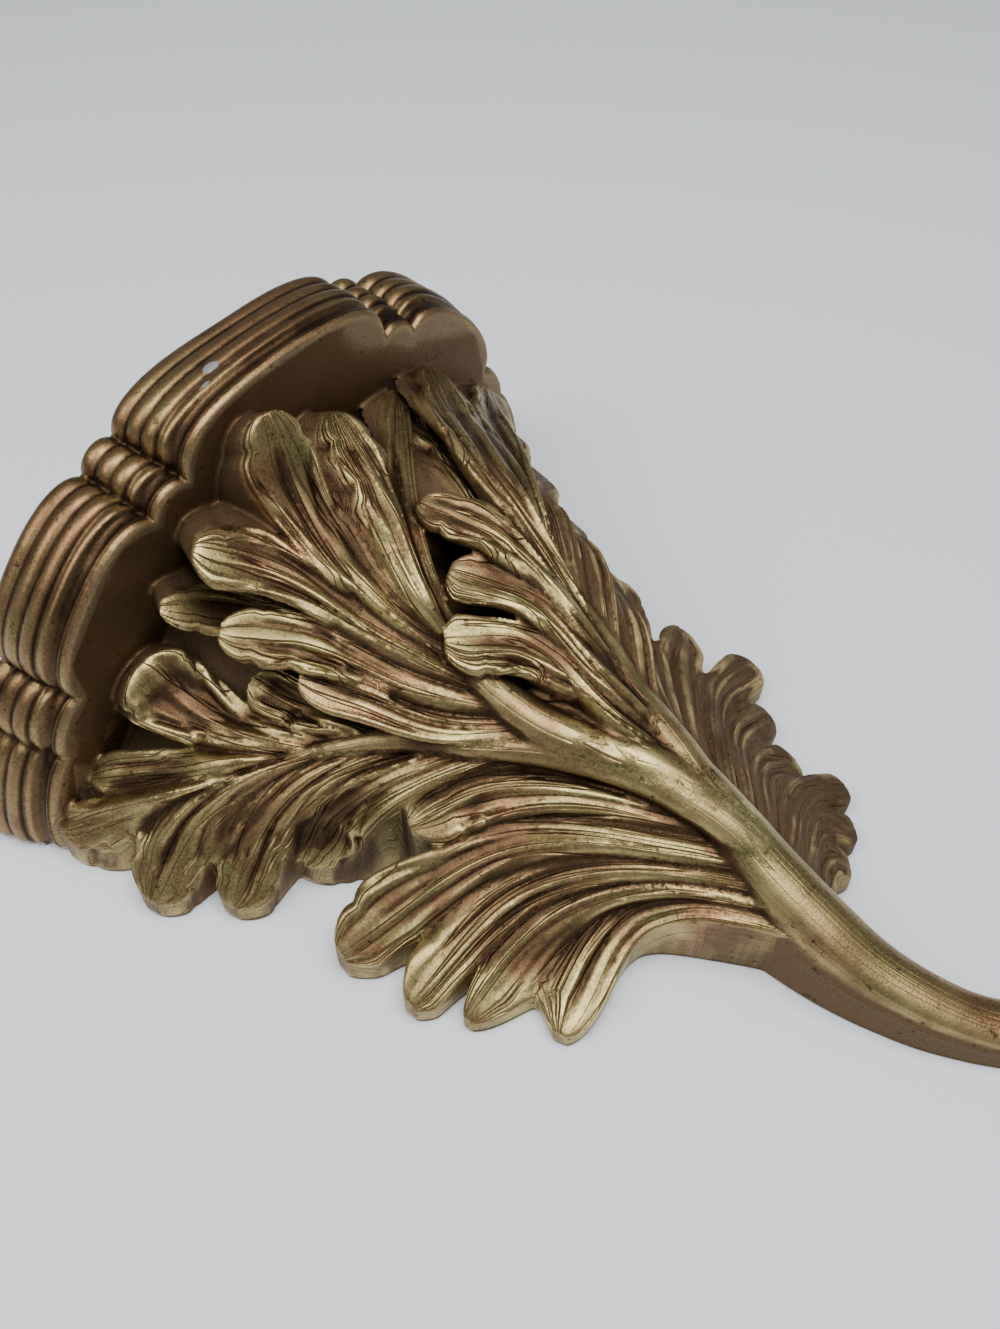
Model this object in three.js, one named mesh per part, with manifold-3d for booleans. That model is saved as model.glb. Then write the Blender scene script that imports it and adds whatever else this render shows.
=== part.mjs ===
// Wall shelf corbel: one casting with a scalloped shelf on acanthus leaves.
// Millimetres, +Z up as it hangs, the wall is the plane y = 0 and the shelf stands out towards -Y.
// Depth means the distance from the wall, so a depth of 40 lies at y = -40.

import * as THREE from 'three';
import { mergeVertices } from 'three/addons/utils/BufferGeometryUtils.js';
import Module from 'manifold-3d';

const wasm = await Module();
wasm.setup();

// Driving sizes
const SHELF_WIDTH = 278; // across the top edge, at the wall
const SHELF_DEPTH = 125.5; // from the wall to the top edge of the front lobe
const SHELF_THICKNESS = 30; // from the flat underside to the top
const LEAF_DROP = 294; // from the shelf's underside to the foot of the tail
const BEAD_DEPTH = 1.6; // how far the bead round the underside hangs down
const TORUS_SWELL = 1.9; // how far each of the three tori swells out
const LEAF_THICKNESS = 6; // of the free leaves, from the middle to the underside
const FLUTE_SHARE = 0.05; // height of a flute as a share of the lobe's half width

// The sizes at which the outlines and the leaf tables below are drawn
const DRAWN_WIDTH = 278;
const DRAWN_DEPTH = 125.5;
const DRAWN_DROP = 294;
const DRAWN_THICKNESS = 30;
const wide = SHELF_WIDTH / DRAWN_WIDTH;
const deep = SHELF_DEPTH / DRAWN_DEPTH;
const tall = LEAF_DROP / DRAWN_DROP;

const WELD = 1e-4; // points nearer to each other than this are one

// A place in the leafwork, from x, depth and height as drawn
function place([x, depth, z]) {
  return new THREE.Vector3(x * wide, -depth * deep, z * tall);
}

// Points of a bulging arc from p to q, without p, swelling to the right of the way from p to q
function arc(p, q, { bulge, steps, fullness = 2 }) {
  const middle = p.clone().add(q).multiplyScalar(0.5);
  const half = q.clone().sub(p).multiplyScalar(0.5);
  const side = new THREE.Vector2(half.y, -half.x).normalize();
  const points = [];
  for (let i = 1; i <= steps; i += 1) {
    const turn = Math.PI * (1 - i / steps);
    const along = Math.sign(Math.cos(turn)) * Math.abs(Math.cos(turn)) ** (2 / fullness);
    const out = Math.abs(Math.sin(turn)) ** (2 / fullness);
    points.push(middle.clone().addScaledVector(half, along).addScaledVector(side, bulge * out));
  }
  return points;
}

// Closed solid through rings of equal length, each end closed by a fan
function loft(rings) {
  const count = rings[0].length;
  const points = rings.flat();
  const faces = [];
  for (let ring = 0; ring < rings.length - 1; ring += 1) {
    for (let i = 0; i < count; i += 1) {
      const here = ring * count + i;
      const next = ring * count + ((i + 1) % count);
      faces.push(here, next, next + count, here, next + count, here + count);
    }
  }
  for (const [ring, first, second] of [[0, 1, 0], [rings.length - 1, 0, 1]]) {
    const centre = new THREE.Vector3();
    rings[ring].forEach((point) => centre.addScaledVector(point, 1 / count));
    points.push(centre);
    for (let i = 0; i < count; i += 1) {
      const pair = [ring * count + i, ring * count + ((i + 1) % count)];
      faces.push(points.length - 1, pair[first], pair[second]);
    }
  }
  const geometry = new THREE.BufferGeometry().setFromPoints(points);
  geometry.setIndex(faces);
  return geometry;
}

function solid(geometry) {
  geometry.deleteAttribute('normal');
  geometry.deleteAttribute('uv');
  const merged = mergeVertices(geometry, WELD);
  const mesh = new wasm.Mesh({
    numProp: 3,
    vertProperties: new Float32Array(merged.attributes.position.array),
    triVerts: new Uint32Array(merged.index.array),
  });
  return new wasm.Manifold(mesh);
}

// The outer skin of a solid: the closed pockets left between the leaves are filled
function outerSkin(manifold) {
  const mesh = manifold.getMesh();
  const shell = Array.from({ length: mesh.vertProperties.length / 3 }, (unused, i) => i);
  const root = (i) => {
    let top = i;
    while (shell[top] !== top) {
      top = shell[top];
    }
    shell[i] = top;
    return top;
  };
  for (let i = 0; i < mesh.triVerts.length; i += 3) {
    const [a, b, c] = mesh.triVerts.subarray(i, i + 3);
    shell[root(a)] = root(b);
    shell[root(b)] = root(c);
  }
  const sizes = new Map();
  for (const i of mesh.triVerts) {
    sizes.set(root(i), (sizes.get(root(i)) ?? 0) + 1);
  }
  const largest = [...sizes.keys()].reduce((a, b) => (sizes.get(a) > sizes.get(b) ? a : b));
  const kept = [];
  for (let i = 0; i < mesh.triVerts.length; i += 3) {
    if (root(mesh.triVerts[i]) === largest) {
      kept.push(...mesh.triVerts.subarray(i, i + 3));
    }
  }
  const geometry = new THREE.BufferGeometry();
  geometry.setAttribute('position', new THREE.BufferAttribute(mesh.vertProperties, 3));
  geometry.setIndex(kept);
  return mergeVertices(geometry, WELD);
}

// Left half of the shelf's plan, from the wall to the front lobe: cusps and the scallops between.
// The inner line is the rim of the flat underside, the outer one the top edge.
const SCALLOPS = [
  { inner: [-125, 0], outer: [-139, 0] },
  { inner: [-114, -37], outer: [-122, -41], bulge: 6, outerBulge: 6, steps: 4 },
  { inner: [-102.5, -55], outer: [-108.5, -59.5], bulge: 5, outerBulge: 6, steps: 3 },
  { inner: [-61, -96], outer: [-63, -102], bulge: 15, outerBulge: 15, steps: 8, fullness: 2.3 },
  { inner: [-46, -101], outer: [-50, -108], bulge: 5, outerBulge: 6, steps: 3 },
];
const FRONT_LOBE = { bulge: 21, outerBulge: 15.5, steps: 10, fullness: 2.8 };
const RIGHT_SHARE = 0.96; // the casting's right half is a little narrower than its left

function planLine(cuspKey, bulgeKey) {
  const cusp = (row) => new THREE.Vector2(row[cuspKey][0] * wide, row[cuspKey][1] * deep);
  const line = [cusp(SCALLOPS[0])];
  for (let i = 1; i < SCALLOPS.length; i += 1) {
    const row = SCALLOPS[i];
    line.push(...arc(line.at(-1), cusp(row), { ...row, bulge: row[bulgeKey] }));
  }
  const mirror = (point) => new THREE.Vector2(-point.x * RIGHT_SHARE, point.y);
  const right = [...line].reverse().map(mirror);
  const front = arc(line.at(-1), right[0], { ...FRONT_LOBE, bulge: FRONT_LOBE[bulgeKey] * deep });
  return [...line, ...front, ...right.slice(1)];
}

// Moulding from the flat underside up to the top edge: how far out, how far up, and the swell
const MOULDING = [
  { out: -4, up: 0 },
  { out: 0.5, up: 0.4, bulge: BEAD_DEPTH, steps: 3 },
  { out: 1.6, up: 2, bulge: 0, steps: 1 },
  { out: 3.4, up: 9.4, bulge: -BEAD_DEPTH, steps: 3 },
  { out: 4.2, up: 12.2, bulge: 0.6, steps: 2 },
  { out: 4.6, up: 17.6, bulge: TORUS_SWELL, steps: 3 },
  { out: 5.4, up: 23.4, bulge: TORUS_SWELL, steps: 3 },
  { out: 6.2, up: DRAWN_THICKNESS, bulge: TORUS_SWELL, steps: 3 },
];
const MOULDING_REACH = 8.3; // reach of the moulding as drawn, between the two lines of the plan

function shelf() {
  const inner = planLine('inner', 'bulge');
  const outer = planLine('outer', 'outerBulge');
  const profile = [new THREE.Vector2(MOULDING[0].out, MOULDING[0].up)];
  for (const band of MOULDING.slice(1)) {
    const end = new THREE.Vector2(band.out, band.up * SHELF_THICKNESS / DRAWN_THICKNESS);
    profile.push(...arc(profile.at(-1), end, band));
  }
  const rings = profile.map((step) => inner.map((rim, i) => {
    const reach = outer[i].clone().sub(rim);
    const lean = (reach.length() - MOULDING_REACH) * Math.max(step.y, 0) / SHELF_THICKNESS;
    const point = rim.clone().addScaledVector(reach.normalize(), step.x + lean);
    const onWall = i === 0 || i === inner.length - 1;
    return new THREE.Vector3(point.x, onWall ? 0 : point.y, step.y);
  }));
  return loft(rings);
}

// Midlines of the stem and of the three leaves that grow from its head
const RIBS = {
  stem: [[34, 10, -272], [36, 10, -281], [27, 11, -289], [13, 12, -290], [1, 13, -282], [-8, 14, -268],
    [-14, 18, -252], [-17, 23, -233], [-17, 30, -215], [-15, 37, -196], [-12, 43, -180], [-8, 48, -163]],
  right: [[-8, 48, -163], [4, 56, -137], [14, 64, -114], [19, 73, -91], [30, 84, -63], [36, 92, -44],
    [56, 93, -10]],
  front: [[-8, 48, -163], [-21, 53, -142], [-27, 58, -117], [-27, 65, -94], [-22, 75, -67],
    [-17, 87, -44], [-13, 98, -25]],
  left: [[-8, 48, -163], [-21, 52, -142], [-32, 52, -120], [-43, 52, -103], [-54, 51, -84],
    [-68, 48, -68], [-85, 42, -50], [-109, 31, -27], [-126, 20, -8]],
};
const ribCurves = {};
for (const [name, points] of Object.entries(RIBS)) {
  ribCurves[name] = new THREE.CatmullRomCurve3(points.map(place));
}

// The way a leaf faces at a point: away from the wall, outwards and a little down
const LEAF_AXIS = -8; // x of the line the leaves spread from
const FACING_ROOT = 25; // how far behind the wall the leaves' faces point away from
const FACING_OUT = 0.35;
const FACING_DOWN = 0.45;
function facing(point, along) {
  const away = FACING_ROOT - point.y;
  const out = new THREE.Vector3((point.x - LEAF_AXIS) * FACING_OUT, -away, -FACING_DOWN * away);
  return out.addScaledVector(along, -out.dot(along)).normalize();
}

// Tapering round ribs under the leaves: radius at the head of the stem and at the far end
const RIB_RADII = { right: [10, 5], front: [9, 5], left: [7, 4] };
const RIB_STEPS = 8;
const RIB_SIDES = 5;
const RIB_REACH = 0.94; // how far along its midline a rib runs
const RIB_SINK = 0.9; // how deep the rib lies under its midline, in its own radius
function rib(name) {
  const rings = [];
  for (let i = 0; i <= RIB_STEPS; i += 1) {
    const share = i / RIB_STEPS;
    const centre = ribCurves[name].getPoint(share * RIB_REACH);
    const along = ribCurves[name].getTangent(share * RIB_REACH);
    const out = facing(centre, along);
    const side = along.clone().cross(out);
    const radius = THREE.MathUtils.lerp(...RIB_RADII[name], share);
    centre.addScaledVector(out, -RIB_SINK * radius);
    const ring = [];
    for (let k = 0; k < RIB_SIDES; k += 1) {
      const angle = 2 * Math.PI * k / RIB_SIDES;
      const offset = side.clone().multiplyScalar(-Math.cos(angle) * radius);
      ring.push(centre.clone().add(offset).addScaledVector(out, Math.sin(angle) * radius));
    }
    rings.push(ring);
  }
  return loft(rings);
}

// Stem from the tail to the head: a round crown on upright side walls down to the wall
const STEM_WIDTHS = [3, 5, 6.5, 7.5, 8.5, 8.5, 9.5, 11, 12, 12, 11]; // half widths, evenly spaced
const STEM_STEPS = 22;
// Right half of the section, from the foot of the side wall up to the crest
const STEM_SECTION = [[1.05, 0], [1, 0.45], [0.88, 0.75], [0.5, 0.94], [0, 1]];
function stem() {
  const rings = [];
  for (let i = 0; i <= STEM_STEPS; i += 1) {
    const share = i / STEM_STEPS;
    const crest = ribCurves.stem.getPoint(share);
    const along = ribCurves.stem.getTangent(share).setY(0).normalize();
    const across = new THREE.Vector3(-along.z, 0, along.x);
    const spot = share * (STEM_WIDTHS.length - 1);
    const low = Math.min(Math.floor(spot), STEM_WIDTHS.length - 2);
    const half = wide * THREE.MathUtils.lerp(STEM_WIDTHS[low], STEM_WIDTHS[low + 1], spot - low);
    const mirrored = STEM_SECTION.slice(0, -1).reverse().map(([x, height]) => [-x, height]);
    rings.push([...STEM_SECTION, ...mirrored].map(([x, height]) => {
      const point = crest.clone().addScaledVector(across, x * half);
      return point.setY(crest.y * height);
    }));
  }
  return loft(rings);
}

// Mass under the leaves: height, left edge, right edge and depth of each section
const CORE = [[8, -112, 100, 100], [-10, -110, 96, 90], [-35, -102, 82, 76], [-60, -88, 68, 66],
  [-85, -76, 56, 58], [-110, -72, 48, 52], [-140, -66, 40, 46], [-165, -50, 32, 38],
  [-190, -34, 16, 28], [-215, -26, 4, 18]];
const CORE_STEPS = 8;
const CORE_CURVE = 1.4;
const CORE_FULLNESS = 0.8;
function core() {
  const rings = CORE.map(([z, left, right, depth]) => {
    const ring = [];
    for (let i = 0; i <= CORE_STEPS; i += 1) {
      const t = 2 * i / CORE_STEPS - 1;
      const x = THREE.MathUtils.lerp(left, right, (t + 1) / 2);
      ring.push(place([x, depth * (1 - Math.abs(t) ** CORE_CURVE) ** CORE_FULLNESS, z]));
    }
    return ring;
  });
  return loft(rings.reverse());
}

// Lobes of the leaves: the rib each springs from, where along it, a point on the way, the tip,
// the half width, and whether its rim runs down to the wall
const LOBES = [
  { rib: 'right', at: 0.04, by: [-17, 54, -130], tip: [-23, 56, -106], half: 8 },
  { rib: 'right', at: 0.10, by: [-6, 66, -113], tip: [-30, 72, -81], half: 13 },
  { rib: 'right', at: 0.24, by: [3, 76, -95], tip: [-11, 80, -70], half: 12 },
  { rib: 'right', at: 0.42, by: [15, 84, -74], tip: [5, 86, -46], half: 9 },
  { rib: 'right', at: 0.40, by: [14, 86, -46], tip: [36, 92, -12], half: 5 },
  { rib: 'right', at: 0.50, by: [30, 88, -54], tip: [59, 92, -8], half: 9 },
  { rib: 'right', at: 0.40, by: [44, 74, -58], tip: [90, 56, -8], half: 10 },
  { rib: 'front', at: 0.42, by: [-12, 92, -42], tip: [7, 101, -10], half: 10 },
  { rib: 'front', at: 0.36, by: [-23, 88, -42], tip: [-23, 120, -10], half: 13 },
  { rib: 'front', at: 0.22, by: [-59, 72, -30], tip: [-76, 80, -8], half: 9 },
  { rib: 'front', at: 0.24, by: [-42, 84, -44], tip: [-63, 98, -16], half: 13 },
  { rib: 'front', at: 0.16, by: [-50, 76, -58], tip: [-66, 74, -22], half: 11 },
  { rib: 'front', at: 0.04, by: [-44, 66, -82], tip: [-64, 66, -54], half: 9 },
  { rib: 'left', at: 0.42, by: [-76, 47, -32], tip: [-85, 60, -7], half: 13 },
  { rib: 'left', at: 0.32, by: [-62, 51, -52], tip: [-64, 53, -34], half: 9 },
  { rib: 'left', at: 0.50, by: [-98, 34, -32], tip: [-114, 24, 2], half: 10 },
  { rib: 'left', at: 0.50, by: [-110, 28, -30], tip: [-128, 14, 0], half: 10, wall: true },
  { rib: 'left', at: 0.40, by: [-104, 29, -43], tip: [-126, 8, -37], half: 11, wall: true },
  { rib: 'left', at: 0.30, by: [-91, 31, -60], tip: [-113, 7, -59], half: 11, wall: true },
  { rib: 'left', at: 0.14, by: [-66, 38, -77], tip: [-86, 8, -69], half: 12, wall: true },
  { rib: 'stem', at: 0.985, by: [-50, 40, -124], tip: [-69, 31, -98], half: 12, wall: true },
  { rib: 'stem', at: 0.96, by: [-72, 29, -115], tip: [-103, 10, -96], half: 12, wall: true },
  { rib: 'stem', at: 0.92, by: [-80, 23, -132], tip: [-104, 7, -125], half: 12, wall: true },
  { rib: 'stem', at: 0.88, by: [-74, 23, -147], tip: [-97, 6, -142], half: 10, wall: true },
  { rib: 'stem', at: 0.84, by: [-58, 22, -164], tip: [-84, 6, -167], half: 9, wall: true },
  { rib: 'right', at: 0.02, by: [27, 42, -137], tip: [62, 22, -117], half: 12, wall: true },
  { rib: 'stem', at: 0.97, by: [44, 31, -145], tip: [70, 10, -149], half: 12, wall: true },
  { rib: 'stem', at: 0.93, by: [40, 27, -157], tip: [58, 8, -161], half: 11, wall: true },
  { rib: 'stem', at: 0.89, by: [28, 24, -173], tip: [44, 8, -180], half: 10, wall: true },
  { rib: 'stem', at: 0.85, by: [26, 20, -186], tip: [42, 6, -198], half: 9, wall: true },
  { rib: 'stem', at: 0.81, by: [17, 19, -197], tip: [29, 6, -210], half: 8, wall: true },
  { rib: 'stem', at: 0.77, by: [10, 17, -206], tip: [20, 5, -214], half: 6, wall: true },
  { rib: 'right', at: 0.10, by: [36, 52, -104], tip: [62, 30, -85], half: 13, wall: true },
  { rib: 'right', at: 0.22, by: [46, 58, -80], tip: [72, 34, -62], half: 13, wall: true },
  { rib: 'right', at: 0.34, by: [54, 62, -58], tip: [84, 36, -42], half: 12, wall: true },
  { rib: 'right', at: 0.44, by: [64, 60, -40], tip: [98, 36, -18], half: 11, wall: true },
];
const LOBE_SHARES = [0, 0.22, 0.44, 0.64, 0.81, 0.94, 1]; // where the lobe's sections stand
const LOBE_ACROSS = 4;
const ROOT_SINK = 6; // how deep a lobe springs from inside its rib
const UNDER_WIDTH = 0.7; // a lobe's underside as a share of its width
const TROUGH_SHARE = 0.16; // how much a lobe's rim stands up over its middle, in its half width
const TROUGH_LEVEL = 0.3; // where across the lobe the trough crosses its midline

// Midline of a lobe: it leaves its rib along the rib and then swings out to the tip
function lobeLine({ rib: name, at, by, tip }) {
  const root = ribCurves[name].getPoint(at);
  const leave = ribCurves[name].getTangent(at);
  const base = root.clone().addScaledVector(facing(root, leave), -ROOT_SINK);
  const way = place(by);
  const end = place(tip);
  const swing = end.clone().sub(base).multiplyScalar(0.5);
  const path = new THREE.CurvePath();
  path.add(stretch(base, leave.multiplyScalar(base.distanceTo(way)), way, swing));
  path.add(stretch(way, swing, end, end.clone().sub(way)));
  return path;
}

function stretch(start, leave, end, arrive) {
  const first = start.clone().addScaledVector(leave, 1 / 3);
  const second = end.clone().addScaledVector(arrive, -1 / 3);
  return new THREE.CubicBezierCurve3(start, first, second, end);
}

// Half width along a lobe: narrow where it springs, full past the middle, round at the tip
const NECK = 0.3; // width where it springs, as a share of the full width
const FULL_AT = 0.7; // where along the lobe it is widest
const TIP_REACH = 0.312; // from there the round of the tip runs out just past the end
function lobeWidth(half, share) {
  const spread = THREE.MathUtils.smoothstep(share, 0, FULL_AT);
  const tip = Math.max(share - FULL_AT, 0) / TIP_REACH;
  return half * (NECK + (1 - NECK) * spread) * Math.sqrt(1 - tip ** 2);
}

function lobe(row) {
  const line = lobeLine(row);
  const rings = LOBE_SHARES.map((share) => {
    const centre = line.getPoint(share);
    const along = line.getTangent(share);
    const out = facing(centre, along);
    const side = along.clone().cross(out);
    const half = wide * lobeWidth(row.half, share);
    const top = [];
    const under = [];
    for (let k = 0; k <= LOBE_ACROSS; k += 1) {
      const across = 2 * k / LOBE_ACROSS - 1;
      const trough = TROUGH_SHARE * half * (across ** 2 - TROUGH_LEVEL);
      const flute = FLUTE_SHARE * row.half * Math.cos(2 * Math.PI * across);
      const point = centre.clone().addScaledVector(side, across * half);
      top.push(point.addScaledVector(out, trough + flute));
    }
    for (const across of [UNDER_WIDTH, -UNDER_WIDTH]) {
      const point = centre.clone().addScaledVector(side, across * half);
      under.push(row.wall ? point.setY(0) : point.addScaledVector(out, -LEAF_THICKNESS));
    }
    return [...top, ...under];
  });
  return loft(rings);
}

// Everything behind the wall plane is cut off
function behindWall() {
  const box = new THREE.BoxGeometry(2 * SHELF_WIDTH, SHELF_DEPTH, 4 * LEAF_DROP);
  return box.translate(0, SHELF_DEPTH / 2, 0);
}

let cast = solid(shelf()).add(solid(core())).add(solid(stem()));
for (const name of Object.keys(RIB_RADII)) {
  cast = cast.add(solid(rib(name)));
}
for (const row of LOBES) {
  cast = cast.add(solid(lobe(row)));
}
cast = cast.subtract(solid(behindWall()));

const material = new THREE.MeshStandardMaterial({ color: 0x8a6e42, roughness: 0.42, metalness: 0.85 });
const corbel = new THREE.Mesh(outerSkin(cast), material);
corbel.name = 'corbel';

const group = new THREE.Group();
group.add(corbel);
export default group;
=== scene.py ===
# A wall shelf corbel, cast in one piece and finished in antique gold.
# Sizes are in millimetres until a mesh is made; depth is the distance from the wall.
import math

import bpy
import numpy as np
from mathutils import Matrix, Vector
from mathutils.bvhtree import BVHTree
from mathutils.kdtree import KDTree


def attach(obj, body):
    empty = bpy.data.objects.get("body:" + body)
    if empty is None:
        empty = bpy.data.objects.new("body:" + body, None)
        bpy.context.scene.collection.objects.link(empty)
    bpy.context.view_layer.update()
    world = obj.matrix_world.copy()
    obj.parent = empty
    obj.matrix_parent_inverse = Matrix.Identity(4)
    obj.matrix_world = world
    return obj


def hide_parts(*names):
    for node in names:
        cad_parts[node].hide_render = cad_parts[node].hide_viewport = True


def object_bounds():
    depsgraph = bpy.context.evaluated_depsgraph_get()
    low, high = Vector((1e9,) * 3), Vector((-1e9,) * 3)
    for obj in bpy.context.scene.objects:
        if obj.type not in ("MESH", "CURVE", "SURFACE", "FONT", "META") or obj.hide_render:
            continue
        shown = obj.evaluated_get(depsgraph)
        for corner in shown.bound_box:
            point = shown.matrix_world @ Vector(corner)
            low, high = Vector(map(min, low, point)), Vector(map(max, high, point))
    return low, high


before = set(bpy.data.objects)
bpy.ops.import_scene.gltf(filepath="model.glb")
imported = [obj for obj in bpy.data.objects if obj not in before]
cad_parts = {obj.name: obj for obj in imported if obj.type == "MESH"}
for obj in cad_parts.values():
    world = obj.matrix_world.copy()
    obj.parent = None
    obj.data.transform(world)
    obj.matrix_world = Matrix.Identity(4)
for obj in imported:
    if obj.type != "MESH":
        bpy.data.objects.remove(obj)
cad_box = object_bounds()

bpy.ops.object.select_all(action="DESELECT")

# The corbel lies on its back on a white table and is photographed from above its lower left.
# The camera stands 45 cm away, so the shelf is seen from below and the tail runs out of the frame.
EYE = Vector((-212.0, -344.7, -236.0)) / 1000
LOOK_AT = Vector((22.0, 0.0, -66.0)) / 1000
ROLL = math.radians(0.7)
SENSOR = 36
FOCAL, LONG_SIDE = 1200, 1329  # in pixels of the photograph's frame
forward = (LOOK_AT - EYE).normalized()
level = forward.cross(Vector((0, -1, 0))).normalized()
upright = level.cross(forward)
right_way = level * math.cos(ROLL) + upright * math.sin(ROLL)
up_way = upright * math.cos(ROLL) - level * math.sin(ROLL)
bpy.ops.object.camera_add()
camera = bpy.context.object
camera.name = "camera"
camera.matrix_world = Matrix.Translation(EYE) @ Matrix(
    (right_way, up_way, -forward)).transposed().to_4x4()
camera.data.sensor_width = SENSOR
camera.data.lens = SENSOR * FOCAL / LONG_SIDE
camera.data.clip_start = 0.01
bpy.context.scene.camera = camera

# The shelf is half round in plan, with a lobe in front, two wide scallops and small ones between.
# Its flat underside ends in a soft roll, then come a fine ridge, a cove and three tori up to the
# top. It is moulded in one with the rest and cut flat on top.
SHELF_THICKNESS = 30
RIGHT_SHARE = 0.96
BEHIND = 3  # the casting is made this much too deep and too high, then cut flat
SCALLOPS = [
    {"inner": (-125, 0), "outer": (-139, 0)},
    {"inner": (-114, -37), "outer": (-122, -41), "bulge": 6, "outer_bulge": 6, "steps": 20},
    {"inner": (-102.5, -55), "outer": (-108.5, -59.5), "bulge": 5, "outer_bulge": 6, "steps": 14},
    {"inner": (-61, -96), "outer": (-63, -102), "bulge": 15, "outer_bulge": 15, "steps": 44,
     "fullness": 2.3},
    {"inner": (-46, -101), "outer": (-50, -108), "bulge": 5, "outer_bulge": 6, "steps": 14},
]
FRONT_LOBE = {"bulge": 21, "outer_bulge": 15.5, "steps": 60, "fullness": 2.8}
# out from the edge of the underside and up, how far the stretch from the row before swells out,
# and in how many steps
MOULDING = [
    (-6, 0.0, 0, 1), (-0.8, 0, 0, 2), (1.8, 1.6, 0.75, 10), (2.1, 2.2, -0.3, 4), (2.5, 3.1, 0.4, 5),
    (3.2, 7.6, -1.5, 12), (3.9, 10.4, 0.8, 8), (4.1, 11.5, -0.45, 5),
    (4.6, 17.6, 1.9, 12), (5.4, 23.6, 1.9, 12), (6.2, 30, 2.0, 12), (6.0, 33, 0, 2),
]
MOULDING_REACH = 8.3


def arc(start, end, bulge, steps, fullness=2.0):
    start, end = np.array(start, float), np.array(end, float)
    half = (end - start) / 2
    side = np.array((half[1], -half[0])) / np.linalg.norm(half)
    turn = np.pi * (1 - np.arange(1, steps + 1) / steps)
    along = np.sign(np.cos(turn)) * np.abs(np.cos(turn)) ** (2 / fullness)
    out = np.abs(np.sin(turn)) ** (2 / fullness)
    return (start + end) / 2 + along[:, None] * half + bulge * out[:, None] * side


def plan_line(cusp, bulge):
    line = [np.array([SCALLOPS[0][cusp]], float)]
    for row in SCALLOPS[1:]:
        line.append(arc(line[-1][-1], row[cusp], row[bulge], row["steps"], row.get("fullness", 2)))
    left = np.vstack(line)
    right = left[::-1] * (-RIGHT_SHARE, 1)
    front = arc(left[-1], right[0], FRONT_LOBE[bulge], FRONT_LOBE["steps"], FRONT_LOBE["fullness"])
    return np.vstack([left, front, right[1:]])


def loft(rings):
    # rings of equal length, closed at both ends, with the faces turned outwards
    count = len(rings[0])
    points = np.vstack(list(rings) + [np.mean(rings[0], 0), np.mean(rings[-1], 0)])
    i = np.arange(count)
    faces = []
    for ring in range(len(rings) - 1):
        here, following = ring * count + i, ring * count + (i + 1) % count
        faces.append(np.column_stack([here, following, following + count]))
        faces.append(np.column_stack([here, following + count, here + count]))
    # the two ends, each a fan round a middle point at the end of the list
    last = (len(rings) - 1) * count
    for middle, here, following in ((2, (i + 1) % count, i), (1, last + i, last + (i + 1) % count)):
        faces.append(np.column_stack([np.full(count, len(points) - middle), here, following]))
    faces = np.vstack(faces)
    a, b, c = points[faces[:, 0]], points[faces[:, 1]], points[faces[:, 2]]
    if np.sum(a * np.cross(b, c)) < 0:
        faces = faces[:, ::-1]
    return points, faces


inner, outer = plan_line("inner", "bulge"), plan_line("outer", "outer_bulge")
reach = outer - inner
length = np.linalg.norm(reach, axis=1, keepdims=True)
profile = [np.array([MOULDING[0][:2]], float)]
for out, up, bulge, steps in MOULDING[1:]:
    profile.append(arc(profile[-1][-1], (out, up), bulge, steps))
shelf_rings = []
for out, up in np.vstack(profile):
    lean = (length - MOULDING_REACH) * min(max(up, 0) / SHELF_THICKNESS, 1)
    ring = inner + reach / length * (out + lean)
    ring[[0, -1], 1] = BEHIND
    shelf_rings.append(np.column_stack([ring, np.full(len(ring), up)]))
casting = [loft(shelf_rings)]

# The stem rises from a curled tail at the wall to a head in front of the leaves. It has a round
# crown on upright side walls, with a narrow bead and a groove where the two meet.
RIBS = {
    "stem": [(34, 10, -272), (36, 10, -281), (27, 11, -289), (13, 12, -290), (1, 13, -282),
             (-8, 14, -268), (-14, 18, -252), (-17, 23, -233), (-17, 30, -215), (-15, 37, -196),
             (-12, 43, -180), (-8, 48, -163)],
    "right": [(-8, 48, -163), (1, 56, -138), (9, 65, -117), (15, 74, -94), (27, 84, -66),
              (35, 91, -46), (56, 93, -10)],
    "front": [(-12, 42, -181), (-13, 48, -166), (-16, 53, -150), (-23, 56, -131), (-27, 59, -115),
              (-27, 65, -94), (-22, 75, -67), (-17, 87, -44), (-13, 98, -25)],
    "left": [(-14, 39, -190), (-15, 46, -174), (-18, 50, -156), (-23, 52, -140), (-32, 52, -120),
             (-43, 52, -103), (-54, 51, -84), (-68, 48, -68), (-85, 42, -50), (-109, 31, -27),
             (-126, 20, -8)],
}
STEM_WIDTHS = [3, 5, 6.5, 7.5, 8.5, 8.5, 9.5, 11, 12, 12, 11]  # half widths, evenly spaced
HEAD = [(-4, 49, -148), (2, 48, -132), (8, 44, -116)]  # where the stem runs on, under the leaves
BEAD = [0, 0.15, 0.35, 0.66, 0.78], [0, 1, 1, 0.7, 0]  # how far the bead stands out along the stem


def place(point):
    return np.array((point[0], -point[1], point[2]), float)


def unit(vectors):
    vectors = np.asarray(vectors, float)
    return vectors / np.maximum(np.linalg.norm(vectors, axis=-1, keepdims=True), 1e-9)


def smoothstep(value, low, high):
    t = np.clip((np.asarray(value, float) - low) / (high - low), 0, 1)
    return t * t * (3 - 2 * t)


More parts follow.
